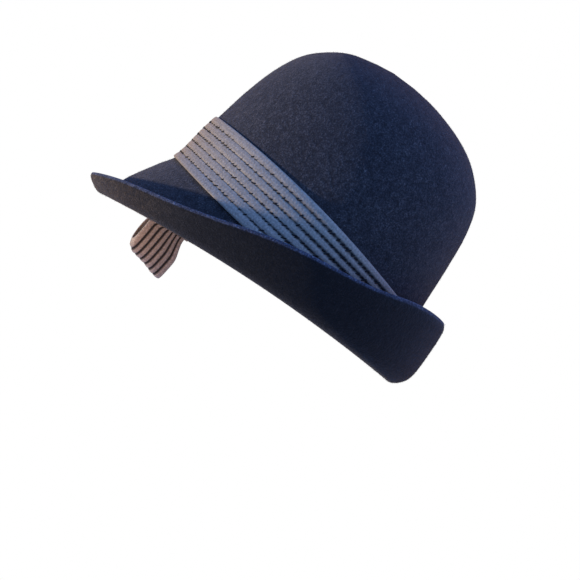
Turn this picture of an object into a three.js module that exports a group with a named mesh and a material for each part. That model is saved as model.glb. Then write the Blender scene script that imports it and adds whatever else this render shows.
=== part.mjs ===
// Cloche hat: one felt body (crown and turned-up brim), a pleated ribbon band round the crown,
// and a two-loop ribbon bow on the wearer's right, outside the brim.
// Millimetres. +Z runs up the crown, -Y is the front of the hat, +X is the wearer's left.
// The origin is the centre of the head opening, level with the lowest line of the brim's fold.
import * as THREE from 'three';

// Driving dimensions
const felt = { thickness: 2.6, edgeSteps: 3 };
const around = 44;           // facets round the hat
const rowsBetween = 2;       // facets between two rows of the body table
const headEgg = 0.045;       // how much wider the oval is behind its middle than before it
const band = { gap: 0.4, strips: 7, tuck: 0.7, crest: 1.35, crestAt: 0.62, foot: 1.05 };
const bow = {
  at: -60.7,                 // degrees from the front, towards the wearer's right
  gap: 0.5,
  knotHeight: 14,            // height of the knot's middle
  lean: 7,                   // degrees that the hanging loop leans forward
  ribbon: 1.4,               // thickness of the pleated ribbon
  width: 36,
  waist: 26,                 // width of the ribbon gathered under the knot
  gathered: 8.5,             // the gathers end this far from the knot's middle
  spread: 13.5,              // and the ribbon is at its full width here
  neck: 1.1,                 // where the ribbon turns back under the knot
  startSwell: 0.3,           // share of a loop's bulge that it has at the knot
  squareness: 0.6,           // below 1 keeps the two sides of a loop apart for longer
  steps: 24,
};
const knot = { height: 15, thickness: 1.6, clearance: 0.8, bulge: 2, opening: 9, inCorner: 3, outCorner: 4 };
const smallStep = 0.02;      // rows or radians, to find which way a surface faces

// The middle of the felt, one row for each ring from the tip of the crown to the edge of the brim.
// front, side and back are distances from the centre line; the z columns are heights there.
const bodyRows = [
  { name: 'tip', front: 19, side: 16, back: 13, zFront: 179.9, zSide: 179.8, zBack: 179.9 },
  { name: 'dome', front: 38, side: 33, back: 33.5, zFront: 175.9, zSide: 175.4, zBack: 175.9 },
  { name: 'roundFront', front: 53.6, side: 49, back: 57.5, zFront: 167.2, zSide: 167, zBack: 167.2 },
  { name: 'shoulder', front: 66, side: 61.5, back: 76, zFront: 155.4, zSide: 155, zBack: 155.4 },
  { name: 'upperWall', front: 76.2, side: 72.6, back: 91.3, zFront: 136.8, zSide: 136, zBack: 136.8 },
  { name: 'wall', front: 83.8, side: 79, back: 97.3, zFront: 114.7, zSide: 114, zBack: 115 },
  { name: 'bandTop', front: 88.6, side: 82, back: 98.9, zFront: 96, zSide: 92, zBack: 88 },
  { name: 'bandMiddle', front: 93.6, side: 83.6, back: 99.3, zFront: 76, zSide: 70, zBack: 60 },
  { name: 'headLine', front: 98.8, side: 84.6, back: 99.6, zFront: 52.5, zSide: 50, zBack: 38 },
  { name: 'flare', front: 108.4, side: 87, back: 99.9, zFront: 38, zSide: 33, zBack: 24 },
  { name: 'lowFlare', front: 120.4, side: 89.8, back: 101.3, zFront: 19.6, zSide: 19, zBack: 12.5 },
  { name: 'foldIn', front: 126, side: 93.4, back: 104.2, zFront: 6.6, zSide: 10.8, zBack: 4.6 },
  { name: 'fold', front: 131.5, side: 97, back: 109, zFront: 1.5, zSide: 8, zBack: 1.3 },
  { name: 'foldOut', front: 135.6, side: 101, back: 115.4, zFront: 2, zSide: 10.4, zBack: 4.8 },
  { name: 'cuffLow', front: 138.6, side: 104.4, back: 119.8, zFront: 3.7, zSide: 17, zBack: 13 },
  { name: 'cuffMiddle', front: 141, side: 108, back: 121.2, zFront: 5.3, zSide: 27, zBack: 32 },
  { name: 'cuffHigh', front: 142.6, side: 110.2, back: 121, zFront: 6.9, zSide: 34.4, zBack: 49 },
  { name: 'edge', front: 143.2, side: 110.8, back: 118.8, zFront: 8.3, zSide: 38, zBack: 54.6 },
];
const crownTip = { y: -6, z: 181.3 };
const lastRow = bodyRows.length - 1;
const wallRows = { first: 3, last: 10 };  // the band lies on the felt between these rows
const cuffRow = 11;          // the brim folds up from this row on

// The brim's edge isn't quite even: how much its free edge lifts or dips, by angle from the front.
const edgeWave = [
  { at: 0, lift: 0 },
  { at: 30, lift: 0.8 },
  { at: 66, lift: -2.4 },
  { at: 94, lift: 0 },
  { at: 121, lift: -2 },
  { at: 148, lift: 2 },
  { at: 180, lift: -0.4 },
];
const waveFromRow = 13;      // the wave fades in from this row to the edge

// Heights of the ribbon band's two edges.
const bandTop = { front: 88.9, side: 74, back: 46 };
const bandFoot = { front: 49.2, side: 28.8, back: 14 };

// How far each loop of the bow reaches from the knot's middle, across its width: rear to front.
const lowerLoop = [
  { across: -1, reach: 41.2, bulge: 4.2 },
  { across: -0.6, reach: 40.6, bulge: 4.9 },
  { across: -0.2, reach: 39, bulge: 5.2 },
  { across: 0.2, reach: 38.4, bulge: 5.2 },
  { across: 0.6, reach: 37.8, bulge: 4.8 },
  { across: 0.86, reach: 35.2, bulge: 4.2 },
  { across: 1, reach: 31, bulge: 3.6 },
];
const upperLoop = [
  { across: -1, reach: 33, bulge: 4.4 },
  { across: -0.5, reach: 36, bulge: 5.6 },
  { across: 0, reach: 37.4, bulge: 6 },
  { across: 0.5, reach: 37, bulge: 5.6 },
  { across: 1, reach: 35, bulge: 4.6 },
];

const degrees = Math.PI / 180;

// A height that swings smoothly from its front value through its side value to its back value.
function swing(front, side, back, turn) {
  const mean = (front + back) / 2;
  const level = (mean + side) / 2;
  return level + (front - back) / 2 * Math.cos(turn) + (mean - side) / 2 * Math.cos(2 * turn);
}

// Smooth curve through four neighbouring values.
function smooth(a, b, c, d, part) {
  const bend = 2 * b + (c - a) * part;
  const square = (2 * a - 5 * b + 4 * c - d) * part ** 2;
  const cube = (3 * b - 3 * c + d - a) * part ** 3;
  return (bend + square + cube) / 2;
}

function edgeLift(turn) {
  const from = Math.abs(turn / degrees) % 360;
  const angle = from > 180 ? 360 - from : from;
  const next = Math.max(1, edgeWave.findIndex((row) => row.at >= angle));
  const low = edgeWave[next - 1];
  const high = edgeWave[next];
  const part = (angle - low.at) / (high.at - low.at);
  return low.lift + (high.lift - low.lift) * (1 - Math.cos(Math.PI * part)) / 2;
}

// The body table read at any row number, whole or between two rows.
function rowAt(station) {
  const base = Math.min(lastRow - 1, Math.floor(station));
  const near = [base - 1, base, base + 1, base + 2];
  const four = near.map((index) => bodyRows[THREE.MathUtils.clamp(index, 0, lastRow)]);
  const row = {};
  for (const key of ['front', 'side', 'back', 'zFront', 'zSide', 'zBack']) {
    row[key] = smooth(...four.map((one) => one[key]), station - base);
  }
  return row;
}

// A point on the middle of the felt. turn is 0 at the front and a quarter turn at the wearer's left.
function feltMiddle(station, turn) {
  const row = rowAt(station);
  const fade = THREE.MathUtils.clamp((station - waveFromRow) / (lastRow - waveFromRow), 0, 1);
  const egg = 1 - headEgg * Math.cos(turn);
  return new THREE.Vector3(
    row.side * egg * Math.sin(turn),
    (row.back - row.front) / 2 - (row.back + row.front) / 2 * Math.cos(turn),
    swing(row.zFront, row.zSide, row.zBack, turn) + fade * edgeLift(turn),
  );
}

// The felt's own direction outwards from the crown, which turns with the fold.
function feltOut(station, turn) {
  const ahead = feltMiddle(Math.min(lastRow, station + smallStep), turn);
  const behind = feltMiddle(Math.max(0, station - smallStep), turn);
  const left = feltMiddle(station, turn + smallStep);
  const right = feltMiddle(station, turn - smallStep);
  return ahead.sub(behind).cross(left.sub(right)).normalize();
}

function feltFace(station, turn, side) {
  return feltMiddle(station, turn).addScaledVector(feltOut(station, turn), side * felt.thickness / 2);
}

// Rings of equal length joined into one skin; a closed list joins its last ring to its first.
function skin(rings, closed, tips) {
  const points = rings.flat();
  const count = rings[0].length;
  const faces = [];
  const steps = closed ? rings.length : rings.length - 1;
  for (let i = 0; i < steps; i += 1) {
    const low = i * count;
    const high = ((i + 1) % rings.length) * count;
    for (let j = 0; j < count; j += 1) {
      const k = (j + 1) % count;
      faces.push(low + j, high + j, high + k, low + j, high + k, low + k);
    }
  }
  if (tips) {
    const first = points.length;
    points.push(tips[0], tips[1]);
    const foot = (rings.length - 1) * count;
    for (let j = 0; j < count; j += 1) {
      const k = (j + 1) % count;
      faces.push(first, j, k);
      faces.push(first + 1, foot + k, foot + j);
    }
  }
  const geometry = new THREE.BufferGeometry();
  geometry.setAttribute('position', new THREE.Float32BufferAttribute(points.flatMap((p) => p.toArray()), 3));
  geometry.setIndex(faces);
  geometry.computeVertexNormals();
  return geometry;
}

function turns() {
  return Array.from({ length: around }, (unused, index) => 2 * Math.PI * index / around);
}

// Outer face from the crown's tip to the brim's edge, round the edge, and back up the inner face.
function feltBodyGeometry() {
  const stations = Array.from({ length: lastRow * rowsBetween + 1 }, (unused, index) => index / rowsBetween);
  const outside = stations.map((station) => turns().map((turn) => feltFace(station, turn, 1)));
  const edge = [];
  for (let step = 1; step <= felt.edgeSteps; step += 1) {
    const roll = Math.PI * step / (felt.edgeSteps + 1);
    edge.push(turns().map((turn) => {
      const middle = feltMiddle(lastRow, turn);
      const along = middle.clone().sub(feltMiddle(lastRow - smallStep, turn)).normalize();
      const point = middle.addScaledVector(feltOut(lastRow, turn), Math.cos(roll) * felt.thickness / 2);
      return point.addScaledVector(along, Math.sin(roll) * felt.thickness / 2);
    }));
  }
  const inside = stations.map((station) => turns().map((turn) => feltFace(station, turn, -1))).reverse();
  const tips = [1, -1].map((side) => new THREE.Vector3(0, crownTip.y, crownTip.z + side * felt.thickness / 2));
  return skin([...outside, ...edge, ...inside], false, tips);
}

// The crown's outer face at a height, found by halving, and standing off by a distance.
function onCrown(height, turn, standOff) {
  let high = wallRows.first;
  let low = wallRows.last;
  while (low - high > 1e-6) {
    const middle = (high + low) / 2;
    if (feltFace(middle, turn, 1).z > height) {
      high = middle;
    } else {
      low = middle;
    }
  }
  return feltFace(low, turn, 1).addScaledVector(feltOut(low, turn), standOff);
}

// Seven folds of ribbon lapped down the crown: each is tucked at its top and proud at its foot.
function bandGeometry() {
  const rings = turns().map((turn) => {
    const top = swing(bandTop.front, bandTop.side, bandTop.back, turn);
    const foot = swing(bandFoot.front, bandFoot.side, bandFoot.back, turn);
    const heightAt = (part) => top + (foot - top) * part;
    const section = [];
    for (let strip = 0; strip < band.strips; strip += 1) {
      section.push(onCrown(heightAt(strip / band.strips), turn, band.gap + band.tuck));
      section.push(onCrown(heightAt((strip + band.crestAt) / band.strips), turn, band.gap + band.crest));
    }
    section.push(onCrown(foot, turn, band.gap + band.foot));
    for (let strip = band.strips; strip >= 0; strip -= 1) {
      section.push(onCrown(heightAt(strip / band.strips), turn, band.gap));
    }
    return section.reverse();
  });
  return skin(rings, true, null);
}

// The bow stands on an upright plane that just clears the brim's edge.
function bowPlace() {
  const turn = bow.at * degrees;
  const ahead = feltMiddle(lastRow, turn + smallStep);
  const behind = feltMiddle(lastRow, turn - smallStep);
  const tangent = ahead.sub(behind).setZ(0).normalize();
  const outward = new THREE.Vector3(tangent.y, -tangent.x, 0);
  let reach = 0;
  for (let station = cuffRow; station <= lastRow; station += 0.1) {
    reach = Math.max(reach, feltMiddle(station, turn).dot(outward) + felt.thickness / 2);
  }
  const at = feltMiddle(lastRow, turn);
  at.addScaledVector(outward, reach + bow.gap - at.dot(outward));
  return { at: at.setZ(bow.knotHeight), outward };
}

// How wide the ribbon is at a distance from the knot's middle: gathered under the knot, then flaring.
function ribbonWidth(along) {
  const part = THREE.MathUtils.smoothstep(along, bow.gathered, bow.spread);
  return THREE.MathUtils.lerp(bow.waist, bow.width, part);
}

// The middle of the ribbon's thickness: out along the brim, round the loop's end and back in front.
function loopMiddle(row, turn) {
  const rise = (1 - Math.cos(turn)) / 2;
  const along = bow.neck + (row.reach - bow.ribbon / 2 - bow.neck) * rise;
  const filled = Math.sin(Math.PI * Math.min(0.75, rise) / 1.5);
  const swell = row.bulge * (bow.startSwell + (1 - bow.startSwell) * filled);
  const side = Math.sign(Math.sin(turn)) * Math.abs(Math.sin(turn)) ** bow.squareness;
  return new THREE.Vector2(swell * (1 - side) + bow.ribbon / 2, along);
}

// X runs across the ribbon, Y away from the hat and Z along the loop, from the knot's middle.
function loopGeometry(rows) {
  const rings = [];
  for (let step = 0; step < bow.steps; step += 1) {
    const turn = 2 * Math.PI * (step + 0.5) / bow.steps;
    const faces = [1, -1].map((side) => rows.map((row) => {
      const middle = loopMiddle(row, turn);
      const ahead = loopMiddle(row, turn + smallStep).sub(loopMiddle(row, turn - smallStep)).normalize();
      const out = side * bow.ribbon / 2;
      const along = middle.y + ahead.x * out;
      const across = row.across * ribbonWidth(middle.y) / 2;
      return new THREE.Vector3(across, middle.x - ahead.y * out, along);
    }));
    rings.push([...faces[1], ...faces[0].reverse()]);
  }
  return skin(rings, true, null);
}

// A plain band of ribbon over the two waists, open towards the hat.
function knotGeometry() {
  const inner = bow.waist / 2 + knot.clearance;
  const outer = inner + knot.thickness;
  const deep = knot.opening;
  const tall = deep + knot.thickness;
  const { inCorner, outCorner } = knot;
  const shape = new THREE.Shape();
  shape.moveTo(-outer, 0);
  shape.lineTo(-inner, 0);
  shape.lineTo(-inner, deep - inCorner);
  shape.quadraticCurveTo(-inner, deep, -inner + inCorner, deep);
  shape.lineTo(inner - inCorner, deep);
  shape.quadraticCurveTo(inner, deep, inner, deep - inCorner);
  shape.lineTo(inner, 0);
  shape.lineTo(outer, 0);
  shape.lineTo(outer, tall - outCorner);
  shape.quadraticCurveTo(outer, tall, outer - outCorner, tall);
  shape.quadraticCurveTo(0, tall + knot.bulge, -outer + outCorner, tall);
  shape.quadraticCurveTo(-outer, tall, -outer, tall - outCorner);
  const geometry = new THREE.ExtrudeGeometry(shape, { depth: knot.height, bevelEnabled: false, curveSegments: 5 });
  return geometry.translate(0, 0, -knot.height / 2);
}

const feltMaterial = new THREE.MeshStandardMaterial({ color: 0x1b1d27, roughness: 0.95, metalness: 0 });
const ribbonMaterial = new THREE.MeshStandardMaterial({ color: 0x5b606c, roughness: 0.8, metalness: 0 });

function piece(name, geometry, material) {
  const mesh = new THREE.Mesh(geometry, material);
  mesh.name = name;
  return mesh;
}

const group = new THREE.Group();
group.add(piece('felt_body', feltBodyGeometry(), feltMaterial));
group.add(piece('ribbon_band', bandGeometry(), ribbonMaterial));

// The bow leans so that the hanging loop swings forward; its upper loop is the same turned over.
const place = bowPlace();
const up = new THREE.Vector3(0, 0, 1).applyAxisAngle(place.outward, bow.lean * degrees);
const bowGroup = new THREE.Group();
const across = new THREE.Vector3().crossVectors(place.outward, up);
bowGroup.setRotationFromMatrix(new THREE.Matrix4().makeBasis(across, place.outward, up));
bowGroup.position.copy(place.at);
const hanging = piece('bow_lower_loop', loopGeometry(lowerLoop), ribbonMaterial);
hanging.rotation.y = Math.PI;
const standing = piece('bow_upper_loop', loopGeometry(upperLoop), ribbonMaterial);
bowGroup.add(hanging, standing, piece('bow_knot', knotGeometry(), ribbonMaterial));
group.add(bowGroup);

export default group;
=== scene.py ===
import math
import random

import bpy
import numpy as np
from mathutils import Matrix, Vector


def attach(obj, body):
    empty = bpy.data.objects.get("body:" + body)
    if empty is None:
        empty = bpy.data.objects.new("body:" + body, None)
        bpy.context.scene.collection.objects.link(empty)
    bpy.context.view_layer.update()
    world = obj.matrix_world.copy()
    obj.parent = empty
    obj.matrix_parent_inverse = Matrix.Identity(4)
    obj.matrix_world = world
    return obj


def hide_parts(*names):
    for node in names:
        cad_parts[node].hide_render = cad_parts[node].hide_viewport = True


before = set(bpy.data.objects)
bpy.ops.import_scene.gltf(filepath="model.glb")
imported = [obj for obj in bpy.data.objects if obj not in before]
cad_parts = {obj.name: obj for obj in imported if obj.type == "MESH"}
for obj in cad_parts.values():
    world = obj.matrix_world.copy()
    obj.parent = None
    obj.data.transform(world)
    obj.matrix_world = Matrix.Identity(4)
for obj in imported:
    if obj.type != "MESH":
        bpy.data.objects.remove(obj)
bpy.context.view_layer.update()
print("frame loaded:", ", ".join(sorted(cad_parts)))

mm = 0.001

# camera, light and floor
# the hat stays upright and the camera is rolled, so that the hat is seen tipped forward
view = {
    "aimAt": (0.0, 0.0165, 0.0159),
    "distance": 4.0,
    "elevation": -0.2,
    "roll": 33.2,
    "framed": 0.406,
    "sensor": 36,
    "clip": (0.05, 30),
}


def placeCamera():
    tip = math.radians(view["elevation"])
    turn = math.radians(view["roll"])
    back = Vector((math.cos(tip), 0, math.sin(tip)))
    level = Vector((0, 1, 0))
    rise = Vector((-math.sin(tip), 0, math.cos(tip)))
    right = level * math.cos(turn) + rise * math.sin(turn)
    up = rise * math.cos(turn) - level * math.sin(turn)
    data = bpy.data.cameras.new("hatCamera")
    data.sensor_width = view["sensor"]
    data.lens = view["sensor"] * view["distance"] / view["framed"]
    data.clip_start, data.clip_end = view["clip"]
    camera = bpy.data.objects.new("hatCamera", data)
    turnTo = Matrix((right, up, back)).transposed().to_4x4()
    standAt = Vector(view["aimAt"]) + back * view["distance"]
    camera.matrix_world = Matrix.Translation(standAt) @ turnTo
    bpy.context.scene.collection.objects.link(camera)
    bpy.context.scene.camera = camera


# daylight round the hat by direction, as the camera sees it, and a low sun from the front
lights = {
    "key": {"towards": (0.1, -1.0, -0.48), "strength": 4.7, "colour": (1.0, 0.78, 0.57), "spread": 3.2},
    "sky": {"towards": (0.3, -0.02, 0.94), "strength": 2.1, "colour": (0.04, 0.37, 1.0), "spread": 40},
    # warm light thrown up under the brim from below it
    "bounce": {
        "at": (-0.03, -0.085, -0.03),
        "towards": (-1, -0.1, 0.25),
        "size": 0.07,
        "power": 0.06,
        "colour": (1.0, 0.48, 0.12),
    },
    "around": {
        "above": (0.34, 0.26, 0.38),
        "below": (0.45, 0.60, 0.34),
        "ahead": (0.10, 0.10, 0.10),
        "behind": (0.60, 0.36, 0.50),
        "nearSide": (0.24, 0.62, 1.36),
        "farSide": (1.0, 0.55, 0.30),
    },
    "backdrop": (1.0, 1.0, 1.0),
}


def addSun(name, light):
    data = bpy.data.lights.new(name, "SUN")
    data.energy = light["strength"]
    data.color = light["colour"]
    data.angle = math.radians(light["spread"])
    lamp = bpy.data.objects.new(name, data)
    lamp.rotation_mode = "QUATERNION"
    lamp.rotation_quaternion = Vector(light["towards"]).to_track_quat("Z", "Y")
    bpy.context.scene.collection.objects.link(lamp)


def addBounce(name, light):
    data = bpy.data.lights.new(name, "AREA")
    data.energy = light["power"]
    data.color = light["colour"]
    data.size = light["size"]
    lamp = bpy.data.objects.new(name, data)
    lamp.location = light["at"]
    lamp.rotation_mode = "QUATERNION"
    lamp.rotation_quaternion = Vector(light["towards"]).to_track_quat("-Z", "Y")
    lamp.visible_camera = False
    bpy.context.scene.collection.objects.link(lamp)


def makeWorld(around, backdrop):
    # each pair of directions shares one axis, and the squares of the three leans add up to one
    turn = math.radians(view["roll"])
    axes = (
        ((0, -math.sin(turn), math.cos(turn)), "above", "below"),
        ((0, -math.cos(turn), -math.sin(turn)), "ahead", "behind"),
        ((1, 0, 0), "nearSide", "farSide"),
    )
    world = bpy.data.worlds.new("studio")
    world.use_nodes = True
    nodes = world.node_tree.nodes
    links = world.node_tree.links
    nodes.clear()
    direction = nodes.new("ShaderNodeTexCoord").outputs["Generated"]
    total = None
    for axis, plus, minus in axes:
        lean = nodes.new("ShaderNodeVectorMath")
        lean.operation = "DOT_PRODUCT"
        lean.inputs[1].default_value = axis
        links.new(direction, lean.inputs[0])
        side = nodes.new("ShaderNodeMath")
        side.operation = "GREATER_THAN"
        side.inputs[1].default_value = 0
        links.new(lean.outputs["Value"], side.inputs[0])
        square = nodes.new("ShaderNodeMath")
        square.operation = "MULTIPLY"
        links.new(lean.outputs["Value"], square.inputs[0])
        links.new(lean.outputs["Value"], square.inputs[1])
        pick = nodes.new("ShaderNodeMix")
        pick.data_type = "RGBA"
        pick.inputs["A"].default_value = (*around[minus], 1)
        pick.inputs["B"].default_value = (*around[plus], 1)
        links.new(side.outputs[0], pick.inputs["Factor"])
        share = nodes.new("ShaderNodeVectorMath")
        share.operation = "SCALE"
        links.new(pick.outputs["Result"], share.inputs[0])
        links.new(square.outputs[0], share.inputs["Scale"])
        if total is None:
            total = share.outputs[0]
        else:
            both = nodes.new("ShaderNodeVectorMath")
            both.operation = "ADD"
            links.new(total, both.inputs[0])
            links.new(share.outputs[0], both.inputs[1])
            total = both.outputs[0]
    soft = nodes.new("ShaderNodeBackground")
    links.new(total, soft.inputs["Color"])
    pale = nodes.new("ShaderNodeBackground")
    pale.inputs["Color"].default_value = (*backdrop, 1)
    mix = nodes.new("ShaderNodeMixShader")
    path = nodes.new("ShaderNodeLightPath")
    links.new(path.outputs["Is Camera Ray"], mix.inputs[0])
    links.new(soft.outputs[0], mix.inputs[1])
    links.new(pale.outputs[0], mix.inputs[2])
    out = nodes.new("ShaderNodeOutputWorld")
    links.new(mix.outputs[0], out.inputs["Surface"])
    bpy.context.scene.world = world


placeCamera()
addSun("keyLight", lights["key"])
addSun("skyLight", lights["sky"])
addBounce("bounceLight", lights["bounce"])
makeWorld(lights["around"], lights["backdrop"])
bpy.context.scene.view_settings.view_transform = "Standard"
print("camera and lights placed")


# helpers for materials
def newMaterial(name):
    material = bpy.data.materials.new(name)
    material.use_nodes = True
    nodes = material.node_tree.nodes
    nodes.clear()
    shader = nodes.new("ShaderNodeBsdfPrincipled")
    out = nodes.new("ShaderNodeOutputMaterial")
    material.node_tree.links.new(shader.outputs[0], out.inputs["Surface"])
    return material, shader


def addNode(material, kind, inputs=(), **settings):
    node = material.node_tree.nodes.new("ShaderNode" + kind)
    for key, value in settings.items():
        setattr(node, key, value)
    for key, value in dict(inputs).items():
        if isinstance(value, bpy.types.NodeSocket):
            material.node_tree.links.new(value, node.inputs[key])
        else:
            node.inputs[key].default_value = value
    return node


def link(material, source, target):
    material.node_tree.links.new(source, target)


def ramp(material, source, stops):
    node = addNode(material, "ValToRGB", {"Fac": source})
    while len(node.color_ramp.elements) < len(stops):
        node.color_ramp.elements.new(0.5)
    for element, (place, colour) in zip(node.color_ramp.elements, stops):
        element.position = place
        element.color = (*colour, 1)
    return node.outputs["Color"]


def multiply(material, first, second):
    node = addNode(material, "Mix", data_type="RGBA", blend_type="MULTIPLY")
    node.inputs["Factor"].default_value = 1
    link(material, first, node.inputs["A"])
    link(material, second, node.inputs["B"])
    return node.outputs["Result"]


def addBump(material, shader, height, strength, depth):
    bump = addNode(material, "Bump", {"Height": height, "Strength": strength, "Distance": depth})
    link(material, bump.outputs[0], shader.inputs["Normal"])


# sizes in metres; it lies far below, because the hat is held up by a head
floorPlate = {
    "radius": 1.2,
    "drop": 0.7,
    "sides": 96,
    "grain": 60.0,
    "tones": [(0.3, (0.80, 0.79, 0.77)), (0.7, (0.84, 0.83, 0.81))],
    "roughness": 0.9,
}


def makeFloor():
    radius = floorPlate["radius"]
    sides = floorPlate["sides"]
    mesh = bpy.data.meshes.new("floor")
    turns = [2 * math.pi * k / sides for k in range(sides)]
    rim = [(radius * math.cos(a), radius * math.sin(a), -floorPlate["drop"]) for a in turns]
    mesh.from_pydata(rim, [], [list(range(sides))])
    floor = bpy.data.objects.new("floor", mesh)
    bpy.context.scene.collection.objects.link(floor)
    material, shader = newMaterial("paleFloor")
    grain = addNode(material, "TexNoise", {"Scale": floorPlate["grain"], "Detail": 3.0})
    link(material, ramp(material, grain.outputs[0], floorPlate["tones"]), shader.inputs["Base Color"])
    shader.inputs["Roughness"].default_value = floorPlate["roughness"]
    mesh.materials.append(material)


makeFloor()

# the felt's form, in mm: its rows follow the middle of the felt from the tip out to the cuff's free edge
felt = {
    "thickness": 2.6,
    "egg": 0.045,
    # front, side and back distances from the centre line, then front, side and back heights
    "rows": {
        "tip": (19, 16, 13, 179.9, 179.8, 179.9),
        "dome": (38, 33, 33.5, 175.9, 175.4, 175.9),
        "roundFront": (53.6, 49, 57.5, 167.2, 167, 167.2),
        "shoulder": (66, 61.5, 76, 155.4, 155, 155.4),
        "upperWall": (76.2, 72.6, 91.3, 136.8, 136, 136.8),
        "wall": (83.8, 79, 97.3, 114.7, 114, 115),
        "bandTop": (88.6, 82, 98.9, 96, 92, 88),
        "bandMiddle": (93.6, 83.6, 99.3, 76, 70, 60),
        "headLine": (98.8, 84.6, 99.6, 52.5, 50, 38),
        "flare": (108.4, 87, 99.9, 38, 33, 24),
        "lowFlare": (120.4, 89.8, 101.3, 19.6, 19, 12.5),
        "foldIn": (126, 93.4, 104.2, 6.6, 10.8, 4.6),
        "fold": (131.5, 97, 109, 1.5, 8, 1.3),
        "foldOut": (135.6, 101, 115.4, 2, 10.4, 4.8),
        "cuffLow": (138.6, 104.4, 119.8, 3.7, 17, 13),
        "cuffMiddle": (141, 108, 121.2, 5.3, 27, 32),
        "cuffHigh": (142.6, 110.2, 121, 6.9, 34.4, 49),
        "edge": (143.2, 110.8, 118.8, 8.3, 38, 54.6),
    },
    "tipY": -6,
    "tipZ": 181.3,
    # how the free edge of the brim lifts and dips, by degrees from the front
    "wave": {0: 0, 30: 0.8, 66: -2.4, 94: 0, 121: -2, 148: 2, 180: -0.4},
    "waveFrom": 13,
    "around": 264,
    "perRow": 8,
    "edgeSteps": 9,
    # small steps along the rows and round the hat for working out which way the felt faces
    "probe": 0.02,
    "edgeProbe": 0.05,
}
rowNames = list(felt["rows"])
rowTable = np.array([felt["rows"][name] for name in rowNames], float)
lastRow = len(rowNames) - 1


def swing(front, side, back, turn):
    mean = (front + back) / 2
    level = (mean + side) / 2
    return level + (front - back) / 2 * np.cos(turn) + (mean - side) / 2 * np.cos(2 * turn)


def rowsAt(station):
    base = np.minimum(lastRow - 1, np.floor(station)).astype(int)
    part = (station - base)[..., None]
    a, b, c, d = (rowTable[np.clip(base + k, 0, lastRow)] for k in (-1, 0, 1, 2))
    first = (c - a) * part
    second = (2 * a - 5 * b + 4 * c - d) * part**2
    third = (3 * b - 3 * c + d - a) * part**3
    return np.moveaxis((2 * b + first + second + third) / 2, -1, 0)


def edgeLift(turn):
    angle = np.abs(np.degrees(turn)) % 360
    angle = np.where(angle > 180, 360 - angle, angle)
    stops = np.array(list(felt["wave"]), float)
    lifts = np.array(list(felt["wave"].values()), float)
    upper = np.clip(np.searchsorted(stops, angle), 1, len(stops) - 1)
    part = (angle - stops[upper - 1]) / (stops[upper] - stops[upper - 1])
    return lifts[upper - 1] + (lifts[upper] - lifts[upper - 1]) * (1 - np.cos(np.pi * part)) / 2


def feltMiddle(station, turn):
    station, turn = np.broadcast_arrays(np.asarray(station, float), np.asarray(turn, float))
    front, side, back, zFront, zSide, zBack = rowsAt(station)
    fade = np.clip((station - felt["waveFrom"]) / (lastRow - felt["waveFrom"]), 0, 1)
    x = side * (1 - felt["egg"] * np.cos(turn)) * np.sin(turn)
    y = (back - front) / 2 - (back + front) / 2 * np.cos(turn)
    z = swing(zFront, zSide, zBack, turn) + fade * edgeLift(turn)
    return np.stack([x, y, z], -1)


def unit(v):
    return v / np.maximum(np.linalg.norm(v, axis=-1, keepdims=True), 1e-9)


def feltOut(station, turn):
    step = felt["probe"]
    station = np.asarray(station, float)
    ahead = feltMiddle(np.minimum(lastRow, station + step), turn)
    behind = feltMiddle(np.maximum(0, station - step), turn)
    along = feltMiddle(station, turn + step) - feltMiddle(station, turn - step)
    return unit(np.cross(ahead - behind, along))


def feltFace(station, turn, side):
    return feltMiddle(station, turn) + feltOut(station, turn) * side * felt["thickness"] / 2


# mesh helpers
def meshObject(name, points, faces, material, smooth=True):
    # faces is a list of faces, or arrays of faces that have equal numbers of corners
    mesh = bpy.data.meshes.new(name)
    points = np.asarray(points, float).reshape(-1, 3) * mm
    groups = faces if isinstance(faces, list) and isinstance(faces[0], np.ndarray) else None
    if groups is None:
        mesh.from_pydata(points.tolist(), [], faces)
    else:
        corners = np.concatenate([group.reshape(-1) for group in groups])
        lengths = np.concatenate([np.full(len(group), group.shape[1]) for group in groups])
        mesh.vertices.add(len(points))
        mesh.vertices.foreach_set("co", points.astype(np.float32).reshape(-1))
        mesh.loops.add(len(corners))
        mesh.loops.foreach_set("vertex_index", corners.astype(np.int32))
        mesh.polygons.add(len(lengths))
        starts = np.concatenate([[0], np.cumsum(lengths)[:-1]])
        mesh.polygons.foreach_set("loop_start", starts.astype(np.int32))
        mesh.update(calc_edges=True)
    mesh.validate()
    if smooth:
        mesh.shade_smooth()
    else:
        mesh.shade_flat()
    mesh.materials.append(material)
    obj = bpy.data.objects.new(name, mesh)
    bpy.context.scene.collection.objects.link(obj)
    return obj


def gridFaces(rows, columns, closedRows):
    i = np.arange(rows if closedRows else rows - 1)[:, None]
    j = np.arange(columns)[None, :]
    low = i * columns
    high = (i + 1) % rows * columns
    k = (j + 1) % columns
    return np.stack([low + j, high + j, high + k, low + k], -1).reshape(-1, 4)


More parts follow.
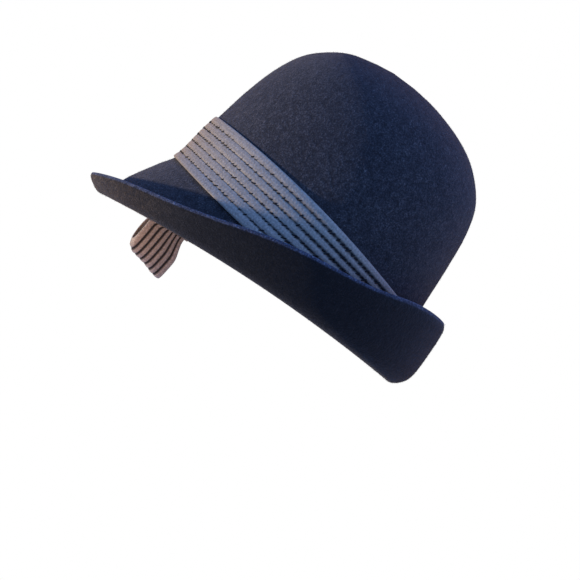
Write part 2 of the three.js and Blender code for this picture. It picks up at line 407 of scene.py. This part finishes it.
# wool felt: dark navy and grey fibres matted together, with paler hairs lying on top
wool = {
    "deep": (0.0065, 0.0070, 0.0100),
    "body": (0.0170, 0.0175, 0.0230),
    "pale": (0.0370, 0.0385, 0.0490),
    "lint": (0.0740, 0.0750, 0.0860),
    "flecks": {"Scale": 900.0, "Detail": 3.0, "Roughness": 0.7},
    "fleckStops": (0.32, 0.50, 0.62, 0.74),
    "clumps": {"Scale": 240.0, "Detail": 3.0, "Roughness": 0.65, "Distortion": 0.6},
    "clumpTones": [(0.32, (0.55, 0.56, 0.60)), (0.5, (1.0, 1.0, 1.0)), (0.68, (1.55, 1.50, 1.42))],
    "clouds": {"Scale": 26.0, "Detail": 3.0, "Roughness": 0.6},
    "cloudTones": [(0.35, (0.84, 0.85, 0.88)), (0.65, (1.13, 1.12, 1.10))],
    "sheen": 0.10,
    "sheenRoughness": 0.6,
    "sheenTint": (0.75, 0.82, 1.0),
    "roughness": 0.95,
    "specular": 0.12,
    "bump": 0.8,
    "bumpDepth": 0.0009,
    "napLighter": 1.2,
    # painted light on the brim's face that is turned outwards on the cuff, by degrees from the front: warm
    # painted sunlight at the front, fading into painted shade at the sides and back
    "cuffPaintedLight": {
        0: (1.85, 1.50, 0.85),
        19: (1.75, 1.38, 0.78),
        38: (1.00, 0.72, 0.38),
        51: (0.64, 0.50, 0.30),
        60: (0.32, 0.29, 0.23),
        70: (0.19, 0.19, 0.18),
        180: (0.15, 0.15, 0.13),
    },
    # rows over which that painted light comes in, and over which the painted highlight on the edge takes
    # over
    "cuffFrom": (11.2, 12.4),
    "cuffTo": (16.45, 16.8),
    # pale blue painted highlight where the cuff's free edge catches the light from above
    "paintedEdgeHighlight": (1.7, 2.1, 2.8),
}


def smoothStep(low, high, value):
    part = np.clip((value - low) / (high - low), 0, 1)
    return part * part * (3 - 2 * part)


def paintedFeltLight(station, turn):
    # painted light on the felt: none inside the hat, painted sunlight and shade by turn on the face that
    # shows on the cuff, and a painted highlight at the edge
    station, turn = np.broadcast_arrays(np.asarray(station, float), np.asarray(turn, float))
    angle = np.abs((np.degrees(turn) + 180) % 360 - 180)
    stops = np.array(list(wool["cuffPaintedLight"]), float)
    colours = np.array(list(wool["cuffPaintedLight"].values()))
    cuff = np.stack([np.interp(angle, stops, colours[:, k]) for k in range(3)], -1)
    onCuff = smoothStep(*wool["cuffFrom"], station)[..., None]
    onEdge = smoothStep(*wool["cuffTo"], station)[..., None]
    tone = 1 + (cuff - 1) * onCuff
    return tone + (np.array(wool["paintedEdgeHighlight"]) - tone) * onEdge


# writes the layer of painted light that the felt's colour is multiplied by
def addPaintedLight(obj, tones):
    layer = obj.data.attributes.new("tone", "FLOAT_VECTOR", "POINT")
    layer.data.foreach_set("vector", np.asarray(tones, np.float32).reshape(-1))


def feltMaterial(name, lighter=1.0):
    material, shader = newMaterial(name)
    where = addNode(material, "TexCoord").outputs["Object"]
    fleck = addNode(material, "TexNoise", {"Vector": where, **wool["flecks"]})
    clump = addNode(material, "TexNoise", {"Vector": where, **wool["clumps"]})
    cloud = addNode(material, "TexNoise", {"Vector": where, **wool["clouds"]})
    tones = [tuple(lighter * part for part in wool[tone]) for tone in ("deep", "body", "pale", "lint")]
    fine = ramp(material, fleck.outputs[0], list(zip(wool["fleckStops"], tones)))
    matted = ramp(material, clump.outputs[0], wool["clumpTones"])
    broad = ramp(material, cloud.outputs[0], wool["cloudTones"])
    # the felt's colour times the painted light layer: painted sunlight and shade on the cuff, and a
    # painted highlight on its edge
    paintedLight = addNode(material, "Attribute", attribute_name="tone").outputs["Vector"]
    tone = multiply(material, multiply(material, multiply(material, fine, matted), broad), paintedLight)
    link(material, tone, shader.inputs["Base Color"])
    shader.inputs["Roughness"].default_value = wool["roughness"]
    shader.inputs["Specular IOR Level"].default_value = wool["specular"]
    shader.inputs["Sheen Weight"].default_value = wool["sheen"]
    shader.inputs["Sheen Roughness"].default_value = wool["sheenRoughness"]
    shader.inputs["Sheen Tint"].default_value = (*wool["sheenTint"], 1)
    pile = addNode(material, "Math", {0: fleck.outputs[0], 1: clump.outputs[0]}, operation="ADD")
    addBump(material, shader, pile.outputs[0], wool["bump"], wool["bumpDepth"])
    return material


feltCloth = feltMaterial("woolFelt")
napWool = feltMaterial("woolNap", wool["napLighter"])


# felt body
def makeFeltBody():
    around = felt["around"]
    turns = 2 * np.pi * np.arange(around) / around
    stations = np.linspace(0, lastRow, lastRow * felt["perRow"] + 1)
    grid = np.meshgrid(stations, turns, indexing="ij")
    outside = feltFace(*grid, 1)
    inside = feltFace(*grid, -1)[::-1]
    middle = feltMiddle(lastRow, turns)
    out = feltOut(lastRow, turns)
    along = unit(middle - feltMiddle(lastRow - felt["edgeProbe"], turns))
    half = felt["thickness"] / 2
    edge = []
    for step in range(1, felt["edgeSteps"] + 1):
        roll = math.pi * step / (felt["edgeSteps"] + 1)
        edge.append(middle + out * math.cos(roll) * half + along * math.sin(roll) * half)
    rings = np.concatenate([outside, np.array(edge), inside])
    count = len(rings)
    tips = [(0, felt["tipY"], felt["tipZ"] + half), (0, felt["tipY"], felt["tipZ"] - half)]
    points = np.concatenate([rings.reshape(-1, 3), np.array(tips, float)])
    first = count * around
    j = np.arange(around)
    k = (j + 1) % around
    foot = (count - 1) * around
    crownTip = np.stack([np.full(around, first), j, k], -1)
    liningTip = np.stack([np.full(around, first + 1), foot + k, foot + j], -1)
    faces = [gridFaces(count, around, False), crownTip, liningTip]
    body = meshObject("feltBody", points, faces, feltCloth)
    # painted light by point: none on the crown and lining, a painted highlight on the rolled edge, painted
    # sunlight and shade on the cuff's outer face
    tones = np.ones((len(points), 3))
    edgeFrom = len(stations) * around
    edgeTo = edgeFrom + len(edge) * around
    tones[edgeFrom:edgeTo] = wool["paintedEdgeHighlight"]
    tones[edgeTo:edgeTo + edgeFrom] = paintedFeltLight(*grid)[::-1].reshape(-1, 3)
    addPaintedLight(body, tones)
    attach(body, "root")
    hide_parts("felt_body")
    return body


feltBody = makeFeltBody()
print("felt body made:", len(feltBody.data.polygons), "faces")

# loose hairs on the outside of the felt: lengths in mm, lifts in degrees, places in rows of the felt
nap = {
    "hairs": 44000,
    "cuffShare": 0.3,
    "cuffFrom": 11.6,
    "cell": 0.125,
    "edgeRows": 0.35,
    # none lie under the ribbon: how far past its top and foot they stop, and the last row it can cover
    "clearTop": 0.6,
    "clearFoot": 1.2,
    "clearRows": 11,
    "length": (0.7, 2.0),
    "radius": 0.04,
    "lift": (3, 38),
    "edgeLift": (15, 80),
    "seed": 7,
}


def scatter(rng, count, first, last, side):
    # even scatter by area over one face of the felt between two rows
    around = felt["around"]
    stations = np.arange(first, last + nap["cell"] / 2, nap["cell"])
    turns = 2 * np.pi * np.arange(around + 1) / around
    corners = feltFace(*np.meshgrid(stations, turns, indexing="ij"), side)
    down = corners[1:, :-1] - corners[:-1, :-1]
    along = corners[:-1, 1:] - corners[:-1, :-1]
    area = np.linalg.norm(np.cross(down, along), axis=-1).reshape(-1)
    cell = rng.choice(len(area), count, p=area / area.sum())
    station = np.minimum(stations[cell // around] + rng.random(count) * nap["cell"], last - 0.001)
    turn = turns[cell % around] + rng.random(count) * 2 * np.pi / around
    return station, turn


def makeNap():
    rng = np.random.default_rng(nap["seed"])
    onCuff = int(nap["hairs"] * nap["cuffShare"])
    crown = scatter(rng, nap["hairs"] - onCuff, 0, lastRow, 1)
    cuff = scatter(rng, onCuff, nap["cuffFrom"], lastRow, -1)
    station = np.concatenate([crown[0], cuff[0]])
    turn = np.concatenate([crown[1], cuff[1]])
    side = np.where(np.arange(len(station)) < len(crown[0]), 1.0, -1.0)
    middle = feltMiddle(station, turn)
    out = feltOut(station, turn) * side[:, None]
    root = middle + out * felt["thickness"] / 2
    belowTop = root[:, 2] < swing(*band["top"], turn) + nap["clearTop"]
    aboveFoot = root[:, 2] > swing(*band["foot"], turn) - nap["clearFoot"]
    keep = ~(belowTop & aboveFoot & (station < nap["clearRows"]))
    station, turn, side, root, out = station[keep], turn[keep], side[keep], root[keep], out[keep]
    count = len(root)
    step = felt["probe"] / 2
    level = unit(feltMiddle(station, turn + step) - feltMiddle(station, turn - step))
    slope = np.cross(out, level)
    heading = rng.uniform(0, 2 * np.pi, count)
    atEdge = station > lastRow - nap["edgeRows"]
    lift = rng.uniform(*nap["lift"], count)
    lift = np.radians(np.where(atEdge, rng.uniform(*nap["edgeLift"], count), lift))
    length = rng.uniform(*nap["length"], count)
    lying = level * np.cos(heading)[:, None] + slope * np.sin(heading)[:, None]
    ahead = lying * np.cos(lift)[:, None] + out * np.sin(lift)[:, None]
    across = unit(np.cross(ahead, out))
    up = np.cross(across, ahead)
    base = root - out * nap["radius"]
    # each hair is a three-sided spike with a closed foot
    points = []
    for corner in range(3):
        angle = math.pi / 2 + corner * math.pi * 2 / 3
        points.append(base + (across * math.cos(angle) + up * math.sin(angle)) * nap["radius"])
    points.append(root + ahead * length[:, None])
    start = np.arange(count) * len(points)
    corners = ((0, 2, 1), (0, 1, 3), (1, 2, 3), (2, 0, 3))
    faces = [np.stack([start + a, start + b, start + c], -1) for a, b, c in corners]
    obj = meshObject("feltNap", np.stack(points, 1), faces, napWool, smooth=False)
    # hairs on the cuff take the same painted sunlight and shade as the felt they grow from
    tones = np.where(side[:, None] > 0, 1.0, paintedFeltLight(station, turn))
    addPaintedLight(obj, np.repeat(tones[:, None], len(points), 1))
    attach(obj, "root")
    return obj


# grosgrain ribbon: slate grey, cross-ribbed, with dark stitched grooves between its strips; the grooves'
# darkness is partly dark thread and partly painted shade
ribbon = {
    "dark": (0.135, 0.130, 0.128),
    "light": (0.290, 0.276, 0.268),
    # near-black in the grooves: partly dark thread, partly painted groove shade
    "groove": (0.004, 0.005, 0.008),
    "grooveRoughness": 0.9,
    "weft": {"Scale": 130.0, "Distortion": 3.0, "Detail": 3.0},
    "warp": {"Scale": 120.0, "Distortion": 3.0, "Detail": 3.0},
    "weaveTones": [(0.0, (0.90, 0.90, 0.91)), (0.8, (1.08, 1.08, 1.07))],
    "fibres": {"Scale": 700.0, "Detail": 4.0, "Roughness": 0.7},
    "specular": 0.3,
    "roughness": 0.58,
    "bump": 0.5,
    "bumpDepth": 0.0002,
}
thread = {
    "twist": {"Scale": 1500.0, "Detail": 2.0},
    "tones": [(0.3, (0.004, 0.005, 0.008)), (0.7, (0.012, 0.013, 0.018))],
    "roughness": 0.85,
    "specular": 0.2,
    "bump": 0.5,
    "bumpDepth": 0.0002,
}


def ribbonMaterial(name):
    material, shader = newMaterial(name)
    cloth = addNode(material, "Attribute", attribute_name="cloth").outputs["Vector"]
    shaded = addNode(material, "Attribute", attribute_name="groove").outputs["Fac"]
    where = addNode(material, "TexCoord").outputs["Object"]
    weft = addNode(material, "TexWave", {"Vector": cloth, **ribbon["weft"]}, bands_direction="X")
    warp = addNode(material, "TexWave", {"Vector": cloth, **ribbon["warp"]}, bands_direction="Y")
    threads = {0: weft.outputs["Fac"], 1: warp.outputs["Fac"]}
    weave = addNode(material, "Math", threads, operation="MULTIPLY")
    tone = addNode(material, "TexNoise", {"Vector": where, **ribbon["fibres"]})
    fine = ramp(material, tone.outputs[0], [(0.3, ribbon["dark"]), (0.7, ribbon["light"])])
    cross = ramp(material, weave.outputs[0], ribbon["weaveTones"])
    # painted groove shade, partly dark thread, mixed over the cloth by the groove layer
    paintedGrooveShade = addNode(material, "Mix", {"Factor": shaded}, data_type="RGBA")
    link(material, multiply(material, fine, cross), paintedGrooveShade.inputs["A"])
    paintedGrooveShade.inputs["B"].default_value = (*ribbon["groove"], 1)
    link(material, paintedGrooveShade.outputs["Result"], shader.inputs["Base Color"])
    roughest = {"To Min": ribbon["roughness"], "To Max": ribbon["grooveRoughness"]}
    gloss = addNode(material, "MapRange", {"Value": shaded, **roughest})
    link(material, gloss.outputs["Result"], shader.inputs["Roughness"])
    shader.inputs["Specular IOR Level"].default_value = ribbon["specular"]
    addBump(material, shader, weave.outputs[0], ribbon["bump"], ribbon["bumpDepth"])
    return material


def threadMaterial(name):
    material, shader = newMaterial(name)
    where = addNode(material, "TexCoord").outputs["Object"]
    twist = addNode(material, "TexNoise", {"Vector": where, **thread["twist"]})
    link(material, ramp(material, twist.outputs[0], thread["tones"]), shader.inputs["Base Color"])
    shader.inputs["Roughness"].default_value = thread["roughness"]
    shader.inputs["Specular IOR Level"].default_value = thread["specular"]
    addBump(material, shader, twist.outputs[0], thread["bump"], thread["bumpDepth"])
    return material


slateRibbon = ribbonMaterial("slateRibbon")
darkThread = threadMaterial("darkThread")


# ribbon band, in mm: heights are at the front, side and back, and pairs run from its front to its back
band = {
    "gap": 0.4,
    "strips": 7,
    "top": (88.9, 74, 46),
    "foot": (49.2, 28.8, 14),
    "around": 680,
    "perStrip": 14,
    "meanRadius": 93,
    "stripWide": 6.4,
    # folds: how far each stands off at its groove and its crest, and how full it is between
    "groove": (0.85, 0.35),
    "crest": 1.45,
    "fullness": 0.4,
    "proudFoot": 0.3,
    # how late and how fast the front's values give way to the back's
    "backFrom": 0.42,
    "backGain": 1.1,
    # dark line along each groove, partly dark thread and partly painted shade: half width, how dark it is,
    # how far it fades, and its broken pulses
    "seam": (0.3, 1.25),
    "seamDepth": (0.35, 1.0),
    "seamReach": 1.6,
    "pulses": 136,
    "pulseShift": 2.1,
    "pulseDepth": 0.35,
}

# felt row on the crown for each whole degree and each mm of height
lookTurns = np.radians(np.arange(0, 361, 1.0))
lookHeights = np.arange(10.0, 111.0, 1.0)
lookRows = np.arange(4, 11.01, 0.1)


def makeLookup():
    heights = feltFace(*np.meshgrid(lookRows, lookTurns, indexing="ij"), 1)[..., 2]
    turns = range(len(lookTurns))
    return np.array([np.interp(lookHeights, heights[::-1, k], lookRows[::-1]) for k in turns])


lookup = makeLookup()


def crownStation(height, turn):
    # blended between the four nearest entries of the lookup
    across = np.degrees(turn) % 360
    down = np.clip(height - lookHeights[0], 0, len(lookHeights) - 1.001)
    i = np.minimum(across.astype(int), len(lookTurns) - 2)
    j = down.astype(int)
    a, b = across - i, down - j
    near = lookup[i, j] * (1 - b) + lookup[i, j + 1] * b
    far = lookup[i + 1, j] * (1 - b) + lookup[i + 1, j + 1] * b
    return near * (1 - a) + far * a


def onCrown(height, turn, standOff):
    height, turn = np.broadcast_arrays(np.asarray(height, float), np.asarray(turn, float))
    station = crownStation(height, turn)
    return feltFace(station, turn, 1) + feltOut(station, turn) * np.asarray(standOff)[..., None]


def stripParts(strips, perStrip):
    # places across the strips, closer together near each groove
    inStrip = (1 - np.cos(np.pi * np.arange(perStrip) / perStrip)) / 2
    return np.append((np.arange(strips)[:, None] + inStrip[None, :]).reshape(-1), strips)


def backward(turn):
    # 0 round the front of the band, rising to 1 at its sides and back
    return np.clip((1 - np.cos(turn)) * band["backGain"] - band["backFrom"], 0, 1)


def blend(pair, part):
    return pair[0] + (pair[1] - pair[0]) * part


def stripRise(part, turn):
    # part runs 0 to 1 down one strip: tucked at its top, gently round, and proud at its foot
    fold = np.sin(np.pi * np.clip(part, 0, 1)) ** band["fullness"]
    groove = blend(band["groove"], backward(turn))
    return groove + (band["crest"] - groove) * fold + band["proudFoot"] * part * fold


def addClothMap(obj, runs, downs, grooveShadeLayer):
    # metres along and across the ribbon for its weave, and how much painted groove shade each point takes
    layer = obj.data.attributes.new("cloth", "FLOAT_VECTOR", "POINT")
    values = np.stack([runs, downs, np.zeros_like(runs)], -1)
    layer.data.foreach_set("vector", values.astype(np.float32).reshape(-1))
    layer = obj.data.attributes.new("groove", "FLOAT", "POINT")
    layer.data.foreach_set("value", grooveShadeLayer.astype(np.float32).reshape(-1))


def seamShade(across, turn, stripTall):
    # how dark the seam line is, partly dark thread and partly painted shade: faint and broken at the
    # front, wide and dark towards the back, where the painted shade is deepest
    back = backward(turn)
    half = blend(band["seam"], back)
    pulse = 0.5 + 0.5 * np.cos(turn * band["pulses"] + band["pulseShift"] * np.round(across))
    depth = blend(band["seamDepth"], back) * (1 - band["pulseDepth"] * pulse)
    nearest = np.abs(across - np.round(across)) * stripTall
    inside = (across > 0.5) & (across < band["strips"] - 0.5)
    return np.where(inside, depth * np.clip(band["seamReach"] - nearest / half, 0, 1), 0)


def makeBand():
    around = band["around"]
    turns = 2 * np.pi * np.arange(around) / around
    parts = stripParts(band["strips"], band["perStrip"])
    top = swing(*band["top"], turns)
    foot = swing(*band["foot"], turns)
    grid, across = np.meshgrid(turns, parts, indexing="ij")
    tall = (top - foot)[:, None] / band["strips"]
    face = onCrown(top[:, None] - tall * across, grid, band["gap"] + stripRise(across % 1.0, grid))
    backs = np.linspace(band["strips"], 0, band["strips"] * 2 + 1)
    gridBack, acrossBack = np.meshgrid(turns, backs, indexing="ij")
    rear = onCrown(top[:, None] - tall * acrossBack, gridBack, np.full(gridBack.shape, band["gap"]))
    rings = np.concatenate([face, rear], axis=1)[:, ::-1]
    columns = rings.shape[1]
    obj = meshObject("ribbonBand", rings, [gridFaces(around, columns, True)], slateRibbon)
    runs = np.repeat((turns * band["meanRadius"] * mm)[:, None], columns, 1)
    downs = np.concatenate([across, acrossBack], axis=1)[:, ::-1] * band["stripWide"] * mm
    shade = np.concatenate([seamShade(across, grid, tall), np.zeros_like(acrossBack)], axis=1)[:, ::-1]
    addClothMap(obj, runs, downs, shade)
    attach(obj, "root")
    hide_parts("ribbon_band")
    return obj


ribbonBand = makeBand()
print("ribbon band made:", len(ribbonBand.data.polygons), "faces")
feltNap = makeNap()
print("felt nap made:", len(feltNap.data.polygons), "faces")

# stitches in the grooves, in mm: pairs run from the band's front to its back, and ranges are random shares
stitch = {
    "pitch": 4.0,
    "stray": 0.34,
    "stagger": 0.37,
    "missing": (0.22, 0.0),
    "reach": (0.85, 1.3),
    "reachRange": (0.4, 1.2),
    "slant": 1.35,
    "slantRange": (0.4, 1.5),
    "radius": (0.42, 0.58),
    "radiusRange": (0.65, 1.25),
    "thinEnd": 0.55,
    "sides": 6,
    "steps": 6,
    "lift": 0.12,
    "tuck": 0.5,
    "seed": 11,
}


def tubeAlong(path, radius, points, faces):
    # a closed little tube through the path's points, thinner at its ends
    path = np.asarray(path, float)
    sides = stitch["sides"]
    ahead = unit(np.gradient(path, axis=0))
    anyWay = np.array((0.31, 0.57, 0.76))  # not along any stitch
    side = unit(np.cross(ahead, anyWay))
    up = np.cross(ahead, side)
    start = len(points)
    count = len(path)
    for k in range(count):
        belly = math.sin(math.pi * (k + 0.5) / count)
        thin = radius * (stitch["thinEnd"] + (1 - stitch["thinEnd"]) * belly)
        for s in range(sides):
            angle = 2 * math.pi * s / sides
            points.append(path[k] + thin * (side[k] * math.cos(angle) + up[k] * math.sin(angle)))
    for k in range(count - 1):
        for s in range(sides):
            t = (s + 1) % sides
            low = start + k * sides
            high = low + sides
            faces.append((low + s, low + t, high + t, high + s))
    faces.append(tuple(start + s for s in reversed(range(sides))))
    faces.append(tuple(start + (count - 1) * sides + s for s in range(sides)))


def makeBandStitches():
    rng = random.Random(stitch["seed"])
    points = []
    faces = []
    fine = np.linspace(0, 2 * np.pi, 721)
    for groove in range(1, band["strips"]):
        top = swing(*band["top"], fine)
        foot = swing(*band["foot"], fine)
        heights = top + (foot - top) * groove / band["strips"]
        line = onCrown(heights, fine, np.full(fine.shape, band["gap"]))
        walked = np.concatenate([[0], np.cumsum(np.linalg.norm(np.diff(line, axis=0), axis=1))])
        count = int(round(walked[-1] / stitch["pitch"]))
        for k in range(count):
            stray = rng.uniform(-1, 1) * stitch["stray"]
            place = (k + stray + stitch["stagger"] * groove) / count % 1 * walked[-1]
            turn = np.interp(place, walked, fine)
            back = backward(turn)
            if rng.random() < blend(stitch["missing"], back):
                continue
            bandTop = swing(*band["top"], turn)
            tall = bandTop - swing(*band["foot"], turn)
            reach = blend(stitch["reach"], back) * rng.uniform(*stitch["reachRange"])
            steps = np.linspace(-1, 1, stitch["steps"])
            down = groove + steps * reach / tall * band["strips"]
            slant = stitch["slant"] * rng.uniform(*stitch["slantRange"])
            turnsHere = turn - steps * slant / band["meanRadius"]
            rise = band["gap"] + stripRise(down % 1.0, turn) + stitch["lift"]
            rise[0] -= stitch["tuck"]
            rise[-1] -= stitch["tuck"]
            thick = blend(stitch["radius"], back) * rng.uniform(*stitch["radiusRange"])
            path = onCrown(bandTop - tall * down / band["strips"], turnsHere, rise)
            tubeAlong(path, thick, points, faces)
    obj = meshObject("bandStitches", points, faces, darkThread)
    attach(obj, "root")
    return obj


bandStitches = makeBandStitches()
print("band stitches made:", len(bandStitches.data.polygons), "faces")

# bow outside the cuff, in mm and degrees: its ribbon is gathered at the knot and spreads along each loop
bow = {
    "at": -60.7,
    "gap": 0.5,
    "knotHeight": 14,
    "lean": 7,
    "ribbon": 1.4,
    "width": 36,
    "waist": 26,
    "gathered": 8.5,
    "spread": 13.5,
    "rearSpread": 26,
    "neck": 1.1,
    "length": 85,
    "ribs": 7,
    "perRib": 8,
    "around": 120,
    "ribRise": 0.75,
    # dark lines in the rib hollows, partly stitching and partly painted shade: half width and how far they
    # fade
    "seam": 0.85,
    "seamReach": 1.7,
    # side shape of a loop: its swell at the neck and beyond, where it is fullest, and how square it is
    "neckSwell": 0.3,
    "fullAt": 0.75,
    "squareness": 0.6,
    "probe": 0.03,
}
# across the ribbon from rear to front: how far the loop reaches from the knot, and its bulge
lowerLoop = {
    "across": (-1, -0.6, -0.2, 0.2, 0.6, 0.86, 1),
    "reach": (41.2, 40.6, 39, 38.4, 37.8, 35.2, 31),
    "bulge": (4.2, 4.9, 5.2, 5.2, 4.8, 4.2, 3.6),
}
upperLoop = {
    "across": (-1, -0.5, 0, 0.5, 1),
    "reach": (33, 36, 37.4, 37, 35),
    "bulge": (4.4, 5.6, 6, 5.6, 4.6),
}


def bowPlace():
    turn = math.radians(bow["at"])
    tangent = feltMiddle(lastRow, turn + 0.02) - feltMiddle(lastRow, turn - 0.02)
    tangent[2] = 0
    tangent = unit(tangent)
    outward = np.array((tangent[1], -tangent[0], 0))
    cuff = feltMiddle(np.arange(11, lastRow, 0.1), turn) @ outward
    at = feltMiddle(lastRow, turn)
    at = at + outward * (cuff.max() + felt["thickness"] / 2 + bow["gap"] - at @ outward)
    at[2] = bow["knotHeight"]
    lean = math.radians(bow["lean"])
    up = np.array((0, 0, 1)) * math.cos(lean) + np.cross(outward, (0, 0, 1)) * math.sin(lean)
    return at, np.cross(outward, up), outward, up


def ribbonWidth(along, place):
    # the front edge flares out of the knot sooner than the rear edge
    spread = np.where(place > 0, bow["spread"], bow["rearSpread"])
    return bow["waist"] + (bow["width"] - bow["waist"]) * smoothStep(bow["gathered"], spread, along)


def loopMiddle(reach, bulge, turn):
    rise = (1 - np.cos(turn)) / 2
    along = bow["neck"] + (reach - bow["ribbon"] / 2 - bow["neck"]) * rise
    full = np.sin(np.pi / 2 * np.minimum(bow["fullAt"], rise) / bow["fullAt"])
    swell = bulge * (bow["neckSwell"] + (1 - bow["neckSwell"]) * full)
    side = np.sign(np.sin(turn)) * np.abs(np.sin(turn)) ** bow["squareness"]
    return np.stack([swell * (1 - side) + bow["ribbon"] / 2, along], -1)


def ribRises(ribs, rise):
    # ribs stand round and full, with narrow hollows between them
    return (np.abs(np.sin(np.pi * ribs)) ** 0.5 - 0.6) * rise


def ribSeams(ribs, count, ribWide):
    # dark lines in the hollows, partly stitching and partly painted shade, and none at the ribbon's own
    # edges
    nearest = np.abs(ribs - np.round(ribs)) * ribWide
    inside = (ribs > 0.5) & (ribs < count - 0.5)
    return np.where(inside, np.clip(bow["seamReach"] - nearest / bow["seam"], 0, 1), 0)


def makeLoop(name, node, table, flip):
    at, across, outward, up = bowPlace()
    if flip:
        across, up = -across, -up
    steps = bow["around"]
    turns = 2 * np.pi * (np.arange(steps) + 0.5) / steps
    ribs = stripParts(bow["ribs"], bow["perRib"])
    places = ribs / bow["ribs"] * 2 - 1
    reach = np.interp(places, table["across"], table["reach"])
    bulge = np.interp(places, table["across"], table["bulge"])
    grid, place = np.meshgrid(turns, places, indexing="ij")
    middle = loopMiddle(reach, bulge, grid)
    step = bow["probe"]
    ahead = unit(loopMiddle(reach, bulge, grid + step) - loopMiddle(reach, bulge, grid - step))
    outOf = np.stack([-ahead[..., 1], ahead[..., 0]], -1)
    half = bow["ribbon"] / 2
    rib = ribRises(ribs, bow["ribRise"])
    wide = place * ribbonWidth(middle[..., 1], place) / 2
    skins = []
    for offset in (np.full(grid.shape, -half), half + np.repeat(rib[None, :], steps, 0)):
        spot = middle + outOf * offset[..., None]
        skins.append(at + wide[..., None] * across + spot[..., :1] * outward + spot[..., 1:] * up)
    rings = np.concatenate([skins[0], skins[1][:, ::-1]], axis=1)
    obj = meshObject(name, rings, [gridFaces(steps, rings.shape[1], True)], slateRibbon)
    runs = np.repeat((turns / (2 * np.pi) * bow["length"] * mm)[:, None], rings.shape[1], 1)
    downs = np.concatenate([place, place[:, ::-1]], axis=1) * bow["width"] / 2 * mm
    # painted shade in the rib hollows, partly stitching
    seam = ribSeams(ribs, bow["ribs"], bow["width"] / bow["ribs"])
    shade = np.concatenate([np.zeros(len(ribs)), seam[::-1]])
    addClothMap(obj, runs, downs, np.repeat(shade[None, :], steps, 0))
    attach(obj, "root")
    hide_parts(node)
    return obj


hangingLoop = makeLoop("hangingLoop", "bow_lower_loop", lowerLoop, True)
standingLoop = makeLoop("standingLoop", "bow_upper_loop", upperLoop, False)
print("bow loops made")

# band of ribbon round the bow's middle, in mm
knot = {
    "height": 15,
    "thickness": 1.6,
    "clearance": 0.8,
    "bulge": 1,
    "pinch": 0.12,
    "opening": 9,
    "corner": 3.2,
    "length": 50,
    "ribs": 3,
    "perRib": 10,
    "ribRise": 0.45,
    "sideSteps": 10,
    "cornerSteps": 14,
    "frontSteps": 24,
}


def knotPath():
    # half round the waists: up one side, over the front and down the other, as points and outward headings
    corner = knot["corner"]
    flat = bow["waist"] / 2 + knot["clearance"] - corner
    deep = knot["opening"] - corner
    line = []
    for part in np.linspace(0, 1, knot["sideSteps"], endpoint=False):
        line.append((-flat - corner, part * deep, math.pi))
    for part in np.linspace(0, 1, knot["cornerSteps"], endpoint=False):
        turn = math.pi - part * math.pi / 2
        line.append((-flat + corner * math.cos(turn), deep + corner * math.sin(turn), turn))
    for part in np.linspace(0, 1, knot["frontSteps"], endpoint=False):
        line.append((-flat * (1 - 2 * part), deep + corner, math.pi / 2))
    for part in np.linspace(0, 1, knot["cornerSteps"], endpoint=False):
        turn = math.pi / 2 - part * math.pi / 2
        line.append((flat + corner * math.cos(turn), deep + corner * math.sin(turn), turn))
    for part in np.linspace(0, 1, knot["sideSteps"]):
        line.append((flat + corner, (1 - part) * deep, 0))
    return np.array(line, float)


def makeKnot():
    at, across, outward, up = bowPlace()
    line = knotPath()
    ribs = stripParts(knot["ribs"], knot["perRib"])
    rib = ribRises(ribs, knot["ribRise"])
    level = (ribs / knot["ribs"] - 0.5) * knot["height"]
    out = np.stack([np.cos(line[:, 2]), np.sin(line[:, 2])], -1)
    fullness = np.clip(1 - (line[:, 0] / (bow["waist"] / 2)) ** 2, 0, 1)
    bulge = knot["bulge"] * fullness * out[:, 1]
    thick = knot["thickness"] + bulge[:, None] + rib[None, :]
    outer = line[:, None, :2] + out[:, None] * thick[..., None]
    inner = np.repeat(line[:, None, :2], len(ribs), 1)
    pinch = 1 - knot["pinch"] * np.clip(out[:, 1], 0, 1)
    skins = []
    for skin, levels in ((inner, level), (outer[:, ::-1], level[::-1])):
        heights = levels[None, :] * pinch[:, None]
        skins.append(at + skin[..., :1] * across + skin[..., 1:] * outward + heights[..., None] * up)
    rings = np.concatenate(skins, axis=1)
    columns = rings.shape[1]
    count = len(rings)
    last = (count - 1) * columns
    ends = [tuple(range(columns)), tuple(last + k for k in reversed(range(columns)))]
    walls = gridFaces(count, columns, False)
    obj = meshObject("bowKnot", rings, [tuple(face) for face in walls.tolist()] + ends, slateRibbon)
    runs = np.repeat(np.linspace(0, knot["length"] * mm, count)[:, None], columns, 1)
    downs = np.repeat(np.concatenate([level, level[::-1]])[None, :], count, 0) * mm
    # painted shade in the rib hollows, partly stitching
    seam = ribSeams(ribs, knot["ribs"], knot["height"] / knot["ribs"])
    shade = np.concatenate([np.zeros(len(ribs)), seam[::-1]])
    addClothMap(obj, runs, downs, np.repeat(shade[None, :], count, 0))
    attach(obj, "root")
    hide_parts("bow_knot")
    return obj


bowKnot = makeKnot()
print("bow knot made")
